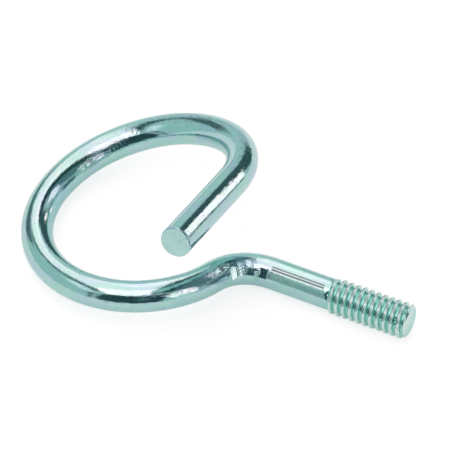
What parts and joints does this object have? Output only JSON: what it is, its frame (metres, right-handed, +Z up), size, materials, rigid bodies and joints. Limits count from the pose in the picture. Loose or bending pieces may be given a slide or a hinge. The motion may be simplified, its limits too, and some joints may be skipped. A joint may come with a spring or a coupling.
{
  "type": "bridle ring",
  "caption": "Bridle ring: one bent zinc-plated wire with a threaded shank, a neck bend and an open coil that a cable bundle is laid into beside the neck.",
  "frame": {"origin": "middle of the footprint on the surface that the ring lies on: the thread's crests and the far side of the ring touch z = 0", "axes": "+X along the shank from its threaded end towards the ring, +Z up from the surface, +Y completes the right-handed set, towards the side the tail points to"},
  "size_m": [0.0712, 0.0426, 0.0306],
  "materials": {
    "zinc_plate": "bright zinc plate with a faint blue-green passivate tint"
  },
  "bodies": {
    "root": {"bridle_ring": "zinc_plate"}
  },
  "joints": []
}
